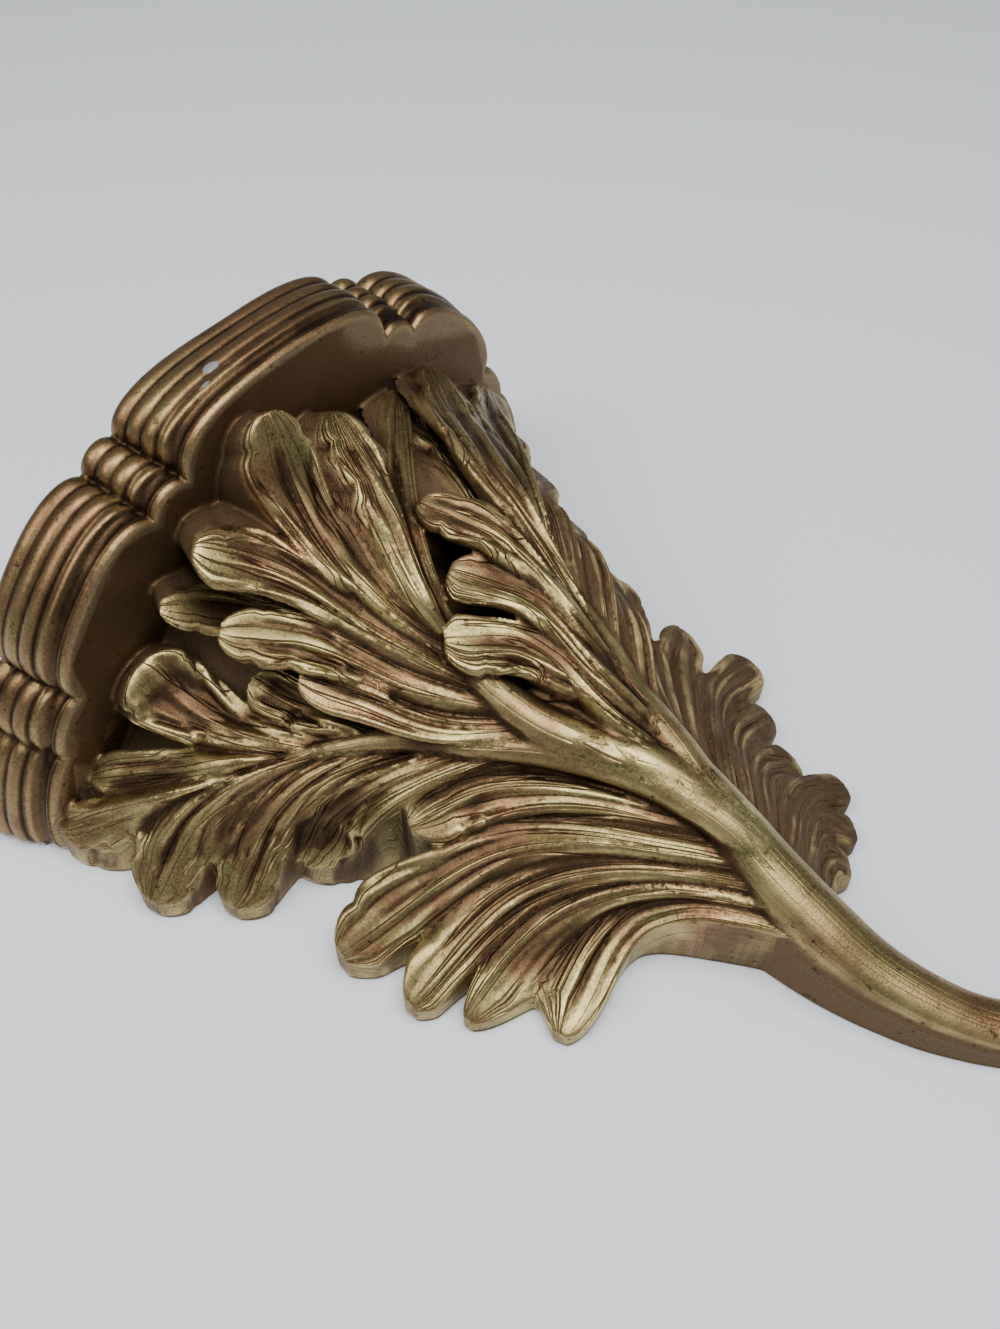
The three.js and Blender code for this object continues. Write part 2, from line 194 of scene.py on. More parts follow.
def smooth_line(points, shares):
    # centripetal curve through the points; shares count the stretches between them evenly
    points = np.array([place(p) for p in points])
    points = np.vstack([2 * points[0] - points[1], points, 2 * points[-1] - points[-2]])
    spot = np.clip(shares, 0, 1) * (len(points) - 3)
    low = np.minimum(spot.astype(int), len(points) - 4)
    t = (spot - low)[:, None]
    p0, p1, p2, p3 = (points[low + k] for k in range(4))
    d0, d1, d2 = (np.linalg.norm(b - a, axis=1, keepdims=True) ** 0.5
                  for a, b in ((p0, p1), (p1, p2), (p2, p3)))
    m1 = ((p1 - p0) / d0 - (p2 - p0) / (d0 + d1) + (p2 - p1) / d1) * d1
    m2 = ((p2 - p1) / d1 - (p3 - p1) / (d1 + d2) + (p3 - p2) / d2) * d1
    return (p1 + m1 * t + (3 * (p2 - p1) - 2 * m1 - m2) * t ** 2
            + (2 * (p1 - p2) + m1 + m2) * t ** 3)


def on_rib(name, share):
    line = smooth_line(RIBS[name], np.array([share - 0.004, share, share + 0.004]))
    return line[1], unit(line[2] - line[0])


shares = np.linspace(0, 1, 130)
crest = smooth_line(RIBS["stem"] + HEAD, shares)
along = np.gradient(crest, axis=0)
along[:, 1] = 0
along = unit(along)
across = np.column_stack([-along[:, 2], 0 * shares, along[:, 0]])
stem_share = shares * (len(RIBS["stem"]) + len(HEAD) - 1) / (len(RIBS["stem"]) - 1)
half = np.interp(stem_share, np.linspace(0, 1, len(STEM_WIDTHS)), STEM_WIDTHS)
bead = np.interp(stem_share, *BEAD)
stem_rings = []
for i in range(len(shares)):
    turn = np.linspace(0, np.pi / 2, 9)
    x = np.concatenate([[1.05, 1.03, 1.0, 0.99], [0.99 + 0.07 * bead[i], 1.0 - 0.1 * bead[i]],
                        0.95 * np.cos(turn)])
    height = np.concatenate([[0, 0.2, 0.4, 0.52], [0.58, 0.64], 0.7 + 0.3 * np.sin(turn)])
    x = np.concatenate([x, -x[-2::-1]])
    height = np.concatenate([height, height[-2::-1]])
    ring = crest[i] + np.outer(x * half[i], across[i])
    ring[:, 1] = crest[i, 1] * height
    ring[[0, -1], 1] = BEHIND
    stem_rings.append(ring)
casting.append(loft(stem_rings))
# midline, way across and half widths of each fluted piece
flows = {"stem": (crest, across, half, half)}
flow_points = [(point, "stem") for ring in stem_rings for point in ring[3:-3]]

# Behind the leaves the casting is one mass that fills the corner between wall and shelf. It is
# deepest under the shelf and runs out on the stem; only its dark sides show between the lobes.
# A row gives the height, the left and the right edge at the wall, and the depth.
CORE = [(14, -112, 100, 100), (8, -112, 100, 100), (-10, -110, 96, 90), (-35, -102, 82, 74),
        (-60, -87, 68, 60), (-85, -66, 56, 52), (-110, -62, 48, 48), (-140, -60, 40, 42),
        (-165, -50, 32, 34), (-190, -34, 16, 24), (-215, -26, 4, 16)]
core_rows = smooth_line([(z, -left, right) for z, left, right, depth in CORE],
                        np.linspace(0, 1, 60))
core_depth = np.interp(-core_rows[:, 0], [-r[0] for r in CORE], [r[3] for r in CORE])
core_rings = []
t = np.linspace(-1, 1, 49)
for (z, left, right), depth in zip(core_rows, core_depth):
    x = left + (right - left) * (t + 1) / 2
    ring = np.column_stack([x, -depth * (1 - np.abs(t) ** 1.4) ** 0.8, np.full(len(t), z)])
    ring[[0, -1], 1] = BEHIND
    core_rings.append(ring)
casting.append(loft(core_rings))

# Three leaves grow from the head of the stem, each on a round rib of its own that thins out and
# sinks into the leaf before its end.
RIB_RADII = {"right": (9, 3), "front": (9, 5), "left": (7, 2.5)}  # at the stem and at the end
RIB_SINKS = {"right": 3}  # how much deeper than the others a rib lies
RIB_REACH = 0.92
LEAF_AXIS = -8  # the leaves spread from the line over this place along X
FACING_ROOT, FACING_OUT, FACING_DOWN = 25, 0.35, 0.45


def facing(points, along):
    # the way a leaf faces: away from the wall, outwards and a little down
    away = FACING_ROOT - points[:, 1]
    out = np.column_stack([(points[:, 0] - LEAF_AXIS) * FACING_OUT, -away, -FACING_DOWN * away])
    out = unit(out)
    return unit(out - np.sum(out * along, 1, keepdims=True) * along)


for name, (start, end) in RIB_RADII.items():
    shares = np.linspace(0, RIB_REACH, 48)
    line = smooth_line(RIBS[name], shares)
    along = unit(np.gradient(line, axis=0))
    out = facing(line, along)
    side = np.cross(along, out)
    radius = np.linspace(start, end, len(shares))[:, None]
    fade = smoothstep(shares, 0.6, 0.94)[:, None]
    radius = radius * (1 - 0.7 * fade)
    sink = RIB_SINKS.get(name, 0) * smoothstep(shares, 0.05, 0.25)[:, None]
    line = line - out * (0.9 * radius + 4 * fade + sink)
    turns = np.linspace(0, 2 * np.pi, 20, endpoint=False)
    rings = [line[i] + np.outer(np.cos(turns) * radius[i], side[i])
             + np.outer(np.sin(turns) * radius[i], out[i]) for i in range(len(line))]
    casting.append(loft(rings))
    flows[name] = (line, side, radius[:, 0] * 1.6, radius[:, 0] * 1.6)
    flow_points += [(point, name) for ring in rings for point in ring]

# Every leaf is a fan of lobes that swing out of the rib, widen and end in a round tip.
# Their faces are fluted along their length, and the outer ones run down to the wall or the shelf.
# A row gives the rib, where on it the lobe starts, three places on the lobe's midline, its half
# width and what it rests on.
LOBES = {
    "a0": ("stem", 0.955, (-18, 55, -140), (-19, 57, -123), (-24, 56, -107), 9, "free"),
    "a1": ("stem", 0.970, (-15, 60, -134), (-13, 70, -102), (-29, 72, -82), 14, "free"),
    "a2": ("right", 0.030, (-6, 64, -126), (-2, 76, -97), (-11, 80, -70), 13, "free"),
    "a3": ("right", 0.200, (4, 75, -104), (8, 85, -74), (3, 86, -47), 10, "free"),
    "a4": ("front", 0.600, (-18, 74, -72), (1, 84, -45), (44, 84, -4), 5, "tip"),
    "a6": ("right", 0.140, (22, 83, -74), (38, 87, -42), (65, 81, -2), 11, "tip"),
    "a8": ("right", 0.440, (18, 72, -72), (36, 76, -42), (54, 75, -3), 12, "shelf"),
    "a5": ("right", 0.360, (34, 76, -74), (58, 73, -48), (96, 54, -4), 11, "tip"),
    "b2": ("front", 0.620, (-24, 82, -71), (-8, 92, -45), (8, 100, -9), 9.5, "shelf"),
    "b1": ("front", 0.600, (-35, 80, -60), (-28, 92, -30), (-21, 118, -10), 13, "shelf"),
    "b5": ("front", 0.560, (-44, 64, -46), (-56, 70, -24), (-75, 79, -10), 9, "shelf"),
    "b3": ("front", 0.520, (-40, 74, -65), (-46, 86, -37), (-62, 97, -16), 13, "shelf"),
    "b4": ("front", 0.460, (-45, 64, -79), (-55, 74, -51), (-68, 73, -26), 11, "free"),
    "b6": ("front", 0.420, (-46, 56, -94), (-56, 64, -73), (-63, 66, -53), 8, "free"),
    "c1": ("left", 0.680, (-78, 47, -48), (-83, 49, -24), (-85, 59, -6), 16, "shelf"),
    "c2": ("left", 0.600, (-60, 51, -67), (-63, 51, -50), (-66, 53, -33), 8, "free"),
    "c3": ("left", 0.740, (-90, 43, -43), (-102, 33, -20), (-112, 24, 0), 8, "wall"),
    "c4": ("left", 0.760, (-101, 37, -39), (-116, 27, -20), (-128, 13, 0), 12, "wall"),
    "c5": ("left", 0.640, (-84, 42, -53), (-106, 30, -41), (-127, 8, -40), 13, "wall"),
    "c6": ("left", 0.540, (-69, 44, -72), (-89, 32, -62), (-113, 7, -61), 12, "wall"),
    "c7": ("left", 0.440, (-61, 44, -89), (-78, 32, -76), (-89, 10, -71), 13, "wall"),
    "d0": ("stem", 0.820, (-25, 41, -153), (-45, 42, -117), (-68, 32, -98), 12, "wall"),
    "d1": ("stem", 0.760, (-35, 37, -160), (-59, 31, -124), (-106, 11, -101), 15, "wall"),
    "d2": ("stem", 0.710, (-35, 33, -170), (-61, 24, -138), (-105, 8, -127), 12, "wall"),
    "d3": ("stem", 0.660, (-35, 30, -179), (-59, 20, -152), (-98, 6, -143), 8, "wall"),
    "d4": ("stem", 0.600, (-32, 27, -187), (-48, 18, -166), (-85, 6, -168), 8, "wall"),
    "e0": ("stem", 0.922, (3, 42, -150), (31, 34, -118), (64, 26, -91), 12, "wall"),
    "e1": ("stem", 0.873, (8, 34, -157), (36, 24, -137), (67, 14, -117), 12, "wall"),
    "e2": ("stem", 0.845, (14, 32, -162), (42, 22, -146), (73, 8, -145), 12, "wall"),
    "e3": ("stem", 0.812, (11, 30, -171), (34, 20, -159), (57, 7, -159), 11, "wall"),
    "e4": ("stem", 0.790, (9, 27, -180), (29, 18, -172), (44, 6, -178), 11, "wall"),
    "e5": ("stem", 0.760, (9, 24, -191), (29, 16, -187), (45, 6, -196), 10, "wall"),
    "e6": ("stem", 0.738, (7, 21, -199), (24, 14, -197), (30, 6, -207), 9, "wall"),
    "e7": ("stem", 0.710, (2, 18, -207), (13, 12, -207), (16, 5, -212), 7, "wall"),
    "r1": ("right", 0.10, (24, 56, -120), (46, 46, -98), (62, 30, -85), 13, "wall"),
    "r2": ("right", 0.22, (34, 64, -98), (54, 52, -74), (72, 34, -62), 13, "wall"),
    "r3": ("right", 0.34, (42, 68, -76), (64, 54, -52), (84, 36, -42), 12, "wall"),
    "r4": ("right", 0.44, (50, 68, -58), (76, 54, -32), (98, 36, -18), 11, "wall"),
}
# how wide a lobe is at its root, as a share of its full width; the rest are slender there
ROOT_WIDTHS = {"c1": 0.7, "c2": 0.85, "a0": 0.5, "a6": 0.62, "a5": 0.7}
TROUGHS = {"c7": 0.3, "c2": 0.25, "c1": 0.2}  # how hollow a lobe is; the rest are 0.15
ROOT_SINK = 4
LEAF_THICKNESS = 6
TUCKS = {"shelf": 12, "tip": 3}  # how far at most a lobe's foot draws back under it at the shelf


def lobe_line(name, count):
    rib, share, first, second, tip = LOBES[name][:5]
    root, leave = on_rib(rib, share)
    base = root - facing(root[None], leave[None])[0] * ROOT_SINK
    points = np.array([base, place(first), place(second), place(tip)])
    gaps = np.linalg.norm(np.diff(points, axis=0), axis=1)[:, None]
    ways = np.vstack([leave[None], unit((points[2:] - points[:-2]) / 2),
                      unit(points[3:] - points[2:3])])
    t = np.linspace(0, 1, 40)[:, None]
    line = [base[None]]
    for k in range(3):
        p, q, m, n = points[k], points[k + 1], ways[k] * gaps[k], ways[k + 1] * gaps[k]
        line.append(((1 + 2 * t) * (1 - t) ** 2 * p + t * (1 - t) ** 2 * m
                     + t ** 2 * (3 - 2 * t) * q + t ** 2 * (t - 1) * n)[1:])
    line = np.vstack(line)
    gone = np.concatenate([[0], np.cumsum(np.linalg.norm(np.diff(line, axis=0), axis=1))])
    spots = np.linspace(0, gone[-1], count)
    return np.column_stack([np.interp(spots, gone, line[:, k]) for k in range(3)])


def under(points, out, kind, share, heading):
    # where the underside of a leaf lies: on the wall, on the shelf with its outer half or only
    # with its tip, or a little below the leaf's face
    low = points - out * LEAF_THICKNESS
    if kind == "wall":
        low = points.copy()
        low[:, 1] = BEHIND
    if kind in TUCKS:
        rise = smoothstep(share, 0.2, 0.5) if kind == "shelf" else smoothstep(share, 0.72, 0.95)
        tuck = np.minimum(0.7 * np.abs(points[:, 2:]), TUCKS[kind])
        foot = points * (1, 1, 0) + (0, 0, 2) - tuck * heading
        low = low * (1 - rise) + foot * rise
    return low


# Each leaf is one skin: neighbouring lobes share a valley up to the notch between their tips.
# Each row names two neighbours and how far along them the notch is.
SEAMS = [("d0", "d1", 0.80), ("d1", "d2", 0.87), ("d2", "d3", 0.87), ("d3", "d4", 0.92),
         ("e0", "e1", 0.8), ("e1", "e2", 0.82), ("e2", "e3", 0.82), ("e3", "e4", 0.84),
         ("e4", "e5", 0.84), ("e5", "e6", 0.84), ("e6", "e7", 0.84), ("c7", "c6", 0.74),
         ("c6", "c5", 0.82), ("c5", "c4", 0.8), ("c4", "c3", 0.86), ("c1", "c2", 0.62),
         ("c1", "c3", 0.6), ("b2", "a4", 0.72), ("a3", "a6", 0.62), ("a6", "a5", 0.8),
         ("b2", "b1", 0.64), ("b1", "b3", 0.5), ("b3", "b4", 0.62), ("b4", "b6", 0.6),
         ("a0", "a1", 0.62), ("a1", "a2", 0.64), ("a2", "a3", 0.62), ("r1", "r2", 0.8),
         ("r2", "r3", 0.8), ("r3", "r4", 0.8), ("e0", "r1", 0.74), ("r4", "a5", 0.7)]
VALLEY = 0.26  # how deep a valley is against half the distance between two midlines
VALLEY_DEEPEST = 2.6
NOTCH_LENGTH = 0.09
STATIONS = 90
WIDENING = [0, 0.33, 0.62, 0.84], [0.3, 0.52, 0.86, 1]  # half widths along a lobe
TIP_FROM, TIP_LENGTH = 0.84, 0.165
# small notches in the free edges of a lobe: how far along, and how deep against its width
NICKS = [(0.74, 0.14), (0.9, 0.2)]
NICK_LENGTH = 0.018
NICKED_FROM = 8  # narrower lobes have none
CRINKLES = {"e": 1.8, "r": 1.8}  # how strong the folds are on the right; the rest are 1.15
EDGE_ROLL, ROLLED_FROM = 0.22, 0.82
VEIN_LENGTH, VEIN_WIDTH, VEIN_DEPTH = 0.34, 0.09, 0.13
FOLD_CUTS, CUT_WIDTH = 6, 0.07


def folds(v, share, seed):
    # long folds, steep on one side, with sharp cut lines between them, in mm
    sway = 0.1 * math.sin(3.1 * share + seed)
    turn = 2 * np.pi * (1.4 * (v + sway) + 0.17 * seed)
    face = 0.5 * (np.sin(turn) + 0.45 * np.sin(2 * turn + 0.6))
    for k in range(FOLD_CUTS):
        centre = -0.78 + 0.31 * k + 0.08 * math.sin(seed * 2.7 + 2.3 * k) + sway
        strength = 0.55 + 0.45 * math.sin(seed * 1.7 + 4.1 * k)
        face = face - 1.1 * strength * np.exp(-np.abs((v - centre) / CUT_WIDTH) ** 1.3)
    return face


def lobe(name):
    half, kind = LOBES[name][5:]
    line = lobe_line(name, STATIONS)
    shares = np.linspace(0, 1, STATIONS)
    along = unit(np.gradient(line, axis=0))
    out = facing(line, along)
    side = np.cross(along, out)
    tip = np.clip((shares - TIP_FROM) / TIP_LENGTH, 0, 1)
    widen = np.interp(shares, *WIDENING)
    width = half * np.maximum(widen, ROOT_WIDTHS.get(name, 0)) * (1 - tip ** 2) ** 0.5
    width = np.maximum(width, 0.3)
    edges, joined = {}, {}
    seed = sum(ord(c) for c in name) % 17
    nicks = {way: [(where + 0.03 * math.sin(seed * (k + 2) + way), deep)
                   for k, (where, deep) in enumerate(NICKS) if half > NICKED_FROM]
             for way in (-1, 1)}
    for way in (-1, 1):
        nicked = width.copy()
        for where, deep in nicks[way]:
            nicked = nicked * (1 - deep * np.exp(-np.abs(shares - where) / NICK_LENGTH))
        edges[way] = line + way * side * nicked[:, None]
        joined[way] = np.zeros(STATIONS)
    for first, second, reach in SEAMS:
        if name not in (first, second):
            continue
        other = lobe_line(second if name == first else first, STATIONS)
        way = 1 if np.sum((other - line) * side) > 0 else -1
        apart = np.linalg.norm(other - line, axis=1)
        middle = (line + other) / 2
        heading = unit(along + unit(np.gradient(other, axis=0)))
        drop = np.minimum(VALLEY * apart / 2, VALLEY_DEEPEST) * smoothstep(shares, 0, 0.3)
        valley = middle - facing(middle, heading) * drop[:, None]
        opened = np.clip((shares - reach) / NOTCH_LENGTH, 0, 1)[:, None] ** 0.5
        own = line + way * side * np.minimum(np.linalg.norm(edges[way] - line, axis=1),
                                             0.43 * apart)[:, None]
        edges[way] = valley * (1 - opened) + own * opened
        joined[way] = 1 - opened[:, 0]
    v = np.linspace(-1, 1, 73)
    back = np.linspace(1, -1, 9)
    heading = unit(along[-1] * (1, 1, 0))
    rings = []
    for i, share in enumerate(shares):
        toward = np.where(v[:, None] > 0, edges[1][i] - line[i], edges[-1][i] - line[i])
        wide = np.linalg.norm(toward, axis=1)
        drop = -np.sum(toward * out[i], axis=1)
        trough = TROUGHS.get(name, 0.15) * (
            smoothstep(share, 0.35, 0.7) * (1 - smoothstep(share, 0.8, 1)))
        face = 0.45 * drop * np.sin(np.pi * np.abs(v)) + wide * trough * (v ** 2 - 1)
        rolled = np.clip(np.abs(v) - ROLLED_FROM, 0, 1) / (1 - ROLLED_FROM)
        free = np.where(v > 0, 1 - joined[1][i], 1 - joined[-1][i])
        face = face - EDGE_ROLL * wide * rolled ** 2 * free
        fade = smoothstep(share, 0.04, 0.3) * (1 - 0.7 * smoothstep(share, 0.72, 0.97))
        crinkle = CRINKLES.get(name[0], 1.15) * fade * np.minimum(wide / 9, 1) * (1 - v ** 8)
        face = face + crinkle * folds(v, share, seed)
        for way in (-1, 1):
            for where, deep in nicks[way]:
                # the vein that leaves the middle of the lobe and ends in the notch
                gone = (share - where + VEIN_LENGTH) / VEIN_LENGTH
                course = 0.3 + 0.7 * np.clip(gone, 0, 1.1) ** 1.6
                there = smoothstep(share, where - VEIN_LENGTH, where - 0.2) * (share < where + 0.03)
                face = face - there * (1 - 0.6 * joined[way][i]) * VEIN_DEPTH * wide * np.exp(
                    -np.abs((way * v - course) / VEIN_WIDTH) ** 1.4)
        top = line[i] + np.abs(v)[:, None] * toward + np.outer(face, out[i])
        toward = np.where(back[:, None] > 0, edges[1][i] - line[i], edges[-1][i] - line[i])
        spread = np.where(back > 0, 0.82 + 0.24 * joined[1][i], 0.82 + 0.24 * joined[-1][i])
        low = line[i] + (np.abs(back) * spread)[:, None] * toward
        rings.append(np.vstack([top, under(low, out[i], kind, share, heading)]))
        flow_points.extend((point, name) for point in top[::2])
    wide = [np.maximum(np.linalg.norm(edges[way] - line, axis=1), half * 0.3) for way in (-1, 1)]
    flows[name] = (line, side, *wide)
    return loft(rings)


for name in LOBES:
    casting.append(lobe(name))

# The whole casting is one skin: the parts are joined, fused and softened as a cast surface is,
# then cut flat at the wall and at the top of the shelf.
WALL_CUT, TOP_CUT = -0.00003, SHELF_THICKNESS / 1000 - 0.00001
VOXEL = 0.0007
FACES = 194000
points, faces, count = [], [], 0
for part_points, part_faces in casting:
    points.append(part_points)
    faces.append(part_faces + count)
    count += len(part_points)
points, faces = np.vstack(points) / 1000, np.vstack(faces)
mesh = bpy.data.meshes.new("corbel_cast")
mesh.from_pydata(points.tolist(), [], faces.tolist())
corbel = bpy.data.objects.new("corbel_cast", mesh)
bpy.context.collection.objects.link(corbel)
corbel.select_set(True)
bpy.context.view_layer.objects.active = corbel
fuse = corbel.modifiers.new("fuse", "REMESH")
fuse.mode = "VOXEL"
fuse.voxel_size = VOXEL
bpy.ops.object.modifier_apply(modifier="fuse")
soften = corbel.modifiers.new("soften", "SMOOTH")
soften.factor = 0.5
soften.iterations = 2
bpy.ops.object.modifier_apply(modifier="soften")
thin = corbel.modifiers.new("thin", "DECIMATE")
thin.ratio = min(1, FACES / (2 * len(corbel.data.polygons)))
bpy.ops.object.modifier_apply(modifier="thin")
# nothing stands out beyond the plain casting's box; the wall and the top side are cut after this
held = np.empty(len(corbel.data.vertices) * 3, np.float32)
corbel.data.vertices.foreach_get("co", held)
low_corner, high_corner = (np.array(corner, np.float32) for corner in cad_box)
high_corner[1:] += 2 * BEHIND / 1000
held = np.clip(held.reshape(-1, 3), low_corner, high_corner)
corbel.data.vertices.foreach_set("co", held.ravel())
bpy.ops.object.mode_set(mode="EDIT")
for co, normal in (((0, WALL_CUT, 0), (0, 1, 0)), ((0, 0, TOP_CUT), (0, 0, 1))):
    bpy.ops.mesh.select_all(action="SELECT")
    bpy.ops.mesh.bisect(plane_co=co, plane_no=normal, use_fill=True,
                        clear_outer=True, threshold=1e-6)
bpy.ops.mesh.select_all(action="SELECT")
bpy.ops.mesh.quads_convert_to_tris()
bpy.ops.object.mode_set(mode="OBJECT")
bpy.ops.object.shade_smooth_by_angle(angle=math.radians(50))

# Each point of the skin gets three numbers: how closed in it is, how much it lies in a groove, and
# how much it lies in a wider hollow. The colour darkens by them, partly as the patina that settles
# where hands and cloths don't reach and partly as painted shade in recesses, grooves and valleys;
# where the skin bulges into a ridge it gets a painted highlight.
GROOVE_ROUNDS, HOLLOW_ROUNDS = 12, 60
FAR, OFF_SKIN = 0.03, 0.0004  # how far a ray looks and how far above the skin it starts, in metres
mesh = corbel.data
points = np.empty(len(mesh.vertices) * 3, np.float32)
mesh.vertices.foreach_get("co", points)
points = points.reshape(-1, 3).astype(float)
normals = np.empty(len(mesh.vertices) * 3, np.float32)
mesh.vertex_normals.foreach_get("vector", normals)
normals = normals.reshape(-1, 3).astype(float)
edges = np.empty(len(mesh.edges) * 2, np.int32)
mesh.edges.foreach_get("vertices", edges)
edges = edges.reshape(-1, 2)
ends = np.concatenate([edges[:, 0], edges[:, 1]])
others = np.concatenate([edges[:, 1], edges[:, 0]])
degree = np.maximum(np.bincount(ends, minlength=len(points)), 1)


def evened(values, rounds):
    for unused in range(rounds):
        values = 0.5 * values + 0.5 * np.bincount(ends, values[others], len(values)) / degree
    return values


soft = np.column_stack([evened(points[:, k], GROOVE_ROUNDS) for k in range(3)])
groove = np.sum((soft - points) * normals, 1) * 1000
softer = np.column_stack([evened(soft[:, k], HOLLOW_ROUNDS) for k in range(3)])
hollow = np.sum((softer - points) * normals, 1) * 1000
chance = np.random.default_rng(7)
directions = unit(chance.normal(size=(16, 3)))
tree = BVHTree.FromPolygons(points.tolist(), [tuple(p.vertices) for p in mesh.polygons])
closed = np.zeros(len(points))
for direction in directions:
    ways = unit(normals * 1.05 + direction)
    starts = points + normals * OFF_SKIN
    for i in range(len(points)):
        hit = tree.ray_cast(Vector(starts[i]), Vector(ways[i]), FAR)
        if hit[0] is not None:
            closed[i] += 1 - 0.7 * hit[3] / FAR
closed = evened(closed / len(directions), 2)
for label, values in (("groove", evened(groove, 2)), ("hollow", evened(hollow, 2)),
                      ("closed", closed)):
    attribute = mesh.attributes.new(label, "FLOAT", "POINT")
    attribute.data.foreach_set("value", values.astype(np.float32))

# The flutes and veins run with the leaves: each point also gets its place across and along the
# lobe, rib or stem that it lies on.
nearest = KDTree(len(flow_points))
for i, (point, name) in enumerate(flow_points):
    nearest.insert(point / 1000, i)
nearest.balance()
names = list(flows)
owner = np.zeros(len(points), int)
away = np.zeros(len(points))
for i, point in enumerate(points):
    unused, found, distance = nearest.find(point)
    owner[i] = names.index(flow_points[found][1])
    away[i] = distance * 1000
flow = np.zeros((len(points), 3), np.float32)
for k, name in enumerate(names):
    chosen = np.nonzero(owner == k)[0]
    line, side, left, right = flows[name]
    here = points[chosen] * 1000
    near = np.argmin(np.linalg.norm(here[:, None] - line[None], axis=2), 1)
    step = np.gradient(line, axis=0)[near]
    low = np.where(np.sum((here - line[near]) * step, 1) >= 0, near, near - 1)
    low = np.clip(low, 0, len(line) - 2)
    gap = line[low + 1] - line[low]
    t = np.clip(np.sum((here - line[low]) * gap, 1) / np.sum(gap ** 2, 1), 0, 1)[:, None]
    centre = line[low] + gap * t
    way = unit(side[low] * (1 - t) + side[low + 1] * t)
    off = np.sum((here - centre) * way, 1)
    wide = np.where(off[:, None] > 0, np.column_stack([right[low], right[low + 1]]),
                    np.column_stack([left[low], left[low + 1]]))
    flow[chosen, 0] = off / (wide[:, 0] * (1 - t[:, 0]) + wide[:, 1] * t[:, 0])
    flow[chosen, 1] = (low + t[:, 0]) / (len(line) - 1)
    flow[chosen, 2] = k
attribute = mesh.attributes.new("flow", "FLOAT_VECTOR", "POINT")
attribute.data.foreach_set("vector", flow.ravel())
fluted = smoothstep(away, 3.0, 1.6) * (points[:, 1] < -0.0005)
smooth_parts = [names.index(name) for name in ("stem", "right", "front", "left")]
fluted = fluted * np.where(np.isin(owner, smooth_parts), 0.12, 1)
# flank: the side walls of the lobes and of the stem, which get painted shade (more glaze, dull
# brown)
flank = (1 - smoothstep(away, 2.1, 0.9)) * (points[:, 2] < -0.0008) * (points[:, 1] < -0.0005)
on_stem = owner == names.index("stem")
flank[on_stem] = 0.8 * smoothstep(np.abs(flow[on_stem, 0]), 0.9, 1.0)
for label, values in (("fluted", fluted), ("flank", flank)):
    attribute = mesh.attributes.new(label, "FLOAT", "POINT")
    attribute.data.foreach_set("value", evened(values, 2).astype(np.float32))
# the leaves on the right, the stem's sides and the side walls are rougher and less metallic, and
# painted dull brown as shade
dull_and_shaded = np.array([name[0] in "er" and name != "right" for name in names])[owner] * 1.0
dull_and_shaded[on_stem] = smoothstep(np.abs(flow[on_stem, 0]), 0.85, 0.97)
dull_and_shaded = np.maximum(dull_and_shaded, flank)
attribute = mesh.attributes.new("dull_and_shaded", "FLOAT", "POINT")
attribute.data.foreach_set("value", evened(dull_and_shaded, 6).astype(np.float32))

# Antique gold on a cast body: bronze-gold metallic finish, satin, coppery where it is rubbed thin,
# with a dark umber glaze wiped back from the high places. Light and shade are painted in too: a
# painted highlight on the rims and ridges, painted shade that takes the cut lines, grooves, hollows
# and recesses down to nearly black, painted shade as dull brown on the side walls and on the leaves
# at the right, and a greyer painted reflection of the pale table on the shelf's underside, which is
# also rougher.
GOLD = "#A99562"
GREEN_GOLD = "#98935B"
COPPER = "#A07051"
# BROWN_GOLD is a random dark grain, the back's wash, and the painted shade on the side walls and
# the leaves on the right
BROWN_GOLD = "#58442F"
# the two bright colours are painted highlights on the rims and ridges
BRIGHT_GOLD = "#D0B97E"
BRIGHT_COPPER = "#C4946A"
# painted reflection of the pale table on the shelf's underside
SOFT_GREY_GOLD = "#A09078"
BRONZE = "#785E40"
PLASTER = "#858C91"
UMBER = "#35261A"
# cells of each pattern in a metre: rubbed places 36 mm wide, patches 17 mm, scratches 8 mm, pits
# 3 mm, glitter and specks 0.8 mm
RUBBED, PATCHES, SCRATCHES, PITS, GRAINS, SPECKS = 28, 60, 120, 330, 1200, 1300
# how high on the shelf's edge in mm, and how much glaze and painted shade stands there in the
# grooves and the cove between the mouldings
SEAM_GLAZE_AND_SHADE = [
    (-0.9, 0), (-0.4, 0.45), (0.25, 0.4), (0.9, 0.05), (1.6, 0.1), (2.2, 0.8), (3.0, 0.2),
    (3.7, 0.75), (6.4, 0.7), (7.8, 0.4), (8.6, 0), (10.4, 0.1), (11.5, 0.95), (12.4, 0.15),
    (16.8, 0.1), (17.6, 0.9), (18.4, 0.1), (22.8, 0.1), (23.6, 0.9), (24.4, 0.1), (29.5, 0.15),
]
# place and size in metres of the chips in the moulding
CHIPS = [((-0.0202, -0.1237, 0.013), 0.0021), ((-0.0264, -0.1222, 0.0096), 0.0014)]


def linear(hex_colour):
    channels = [int(hex_colour[k:k + 2], 16) / 255 for k in (1, 3, 5)]
    return [c / 12.92 if c <= 0.04045 else ((c + 0.055) / 1.055) ** 2.4 for c in channels] + [1]


def add(tree, kind, settings=None, inputs=None):
    node = tree.nodes.new(kind)
    for key, value in (settings or {}).items():
        setattr(node, key, value)
    for key, value in (inputs or {}).items():
        if isinstance(value, bpy.types.NodeSocket):
            tree.links.new(value, node.inputs[key])
        else:
            node.inputs[key].default_value = value
    return node


